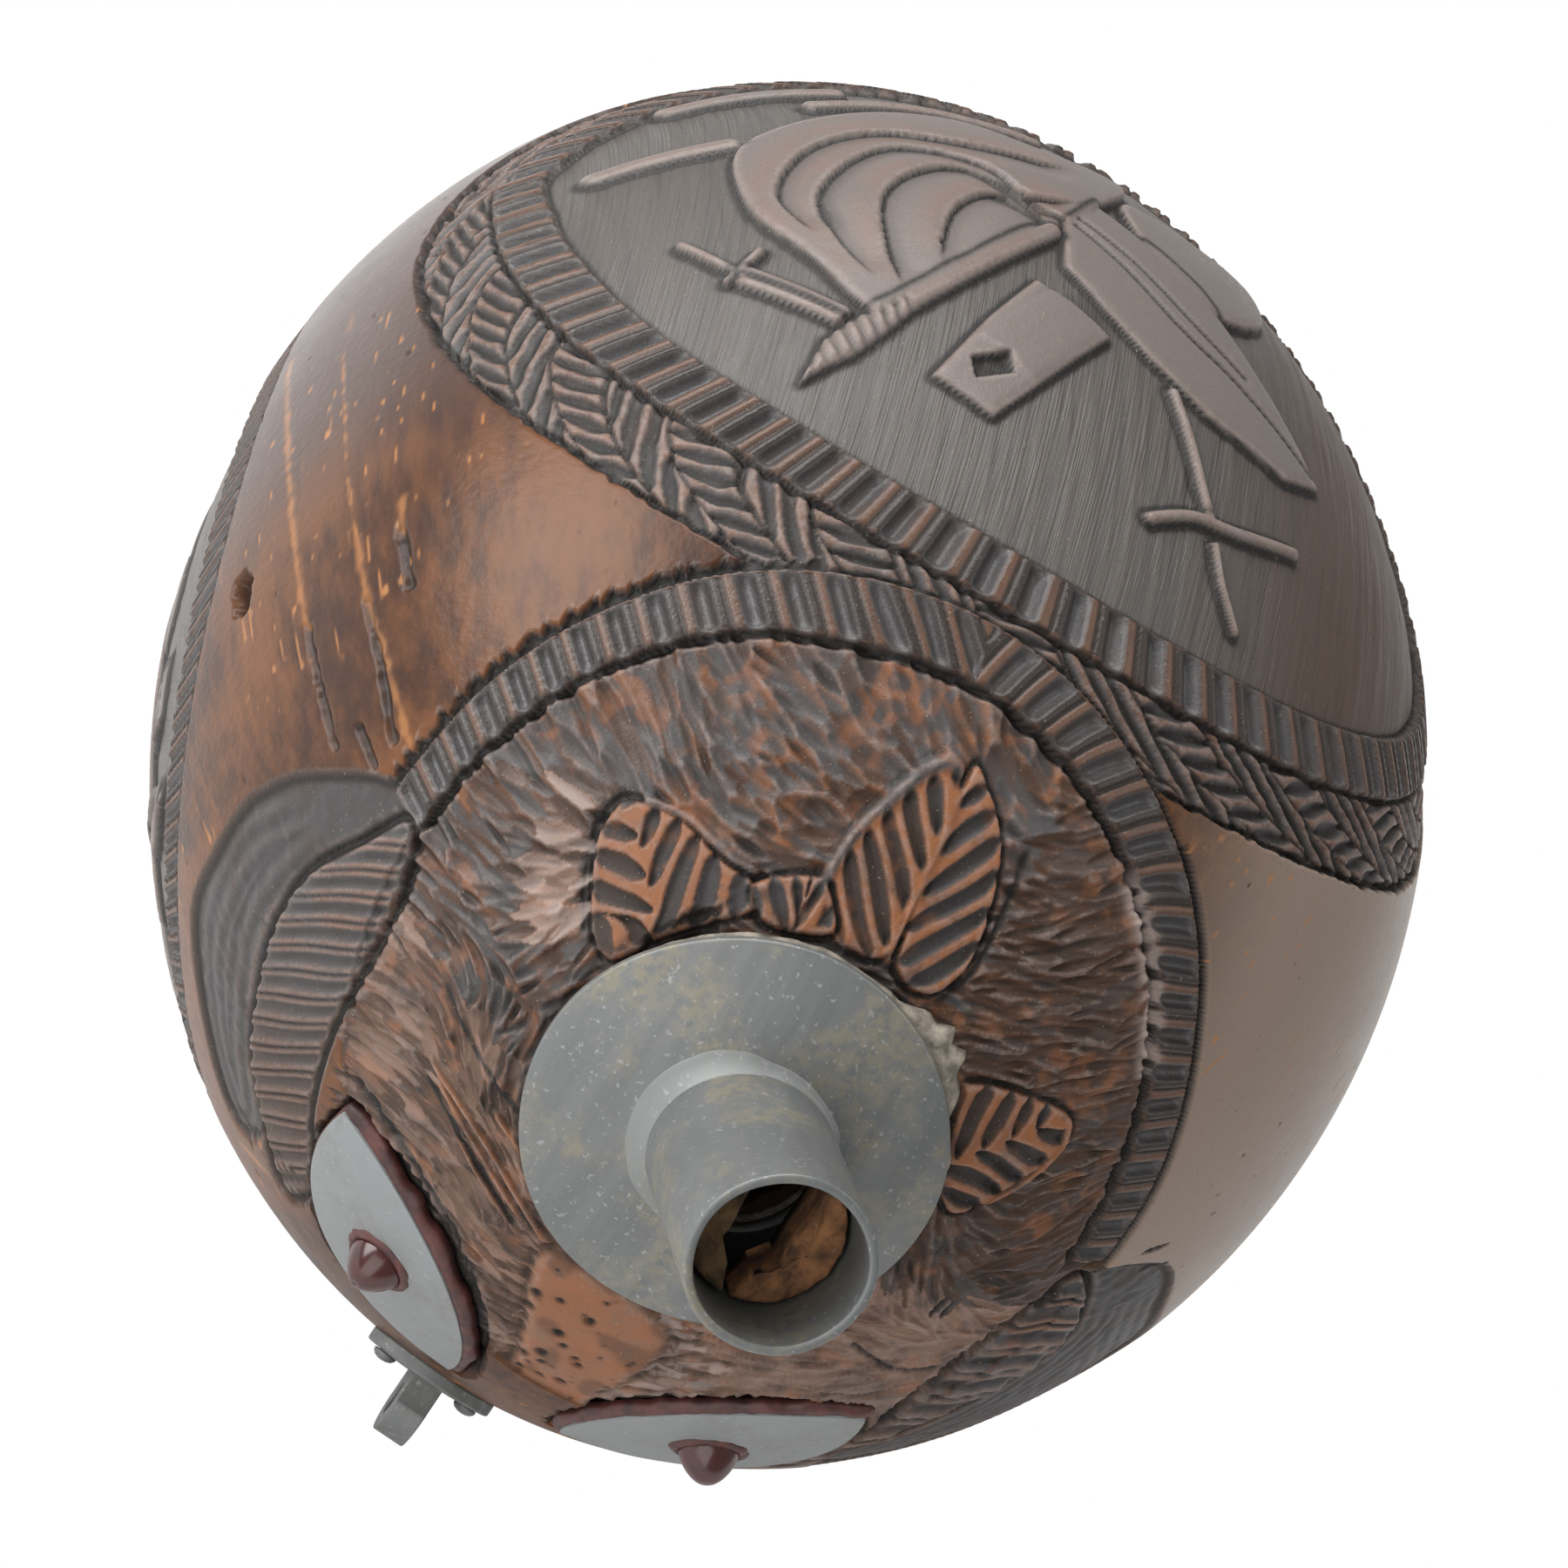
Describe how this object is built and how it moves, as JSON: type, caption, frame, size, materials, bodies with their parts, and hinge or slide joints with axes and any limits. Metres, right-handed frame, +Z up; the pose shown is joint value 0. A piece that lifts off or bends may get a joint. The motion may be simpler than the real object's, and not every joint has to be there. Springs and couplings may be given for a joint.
{
  "type": "carved coconut flask",
  "caption": "Hollow coconut-shell flask carved with a grotesque face and oval panels, with a short leaning pewter spout in the mouth, almond eyes and a small strap loop.",
  "frame": {"origin": "on the small worn flat that the flask lies on, below the middle of the nut", "axes": "+Z up through the middle of the top oval panel, +Y along the nut from the face end to the tail, so the spout points along -Y and up, +X across"},
  "size_m": [0.1038, 0.1447, 0.1037],
  "materials": {
    "nut_shell": "carved and polished dark brown nut shell",
    "pewter": "dull grey pewter",
    "solder": "light grey solder",
    "pitch": "crumbly pale bedding",
    "wax": "dark red wax",
    "cork": "old broken cork",
    "paste": "polished dark red paste"
  },
  "bodies": {
    "root": {"coconut_shell": "nut_shell", "spout_bedding": "pitch", "cork_piece_right": "cork", "cork_piece_left": "cork", "spout_flange": "pewter", "spout_tube": "pewter", "spout_solder": "solder", "eye_wax_right": "wax", "eye_plate_right": "pewter", "eye_bead_right": "paste", "eye_wax_left": "wax", "eye_plate_left": "pewter", "eye_bead_left": "paste", "loop_plate": "pewter", "strap_loop": "pewter", "loop_pin_right": "pewter", "loop_pin_left": "pewter"}
  },
  "joints": []
}
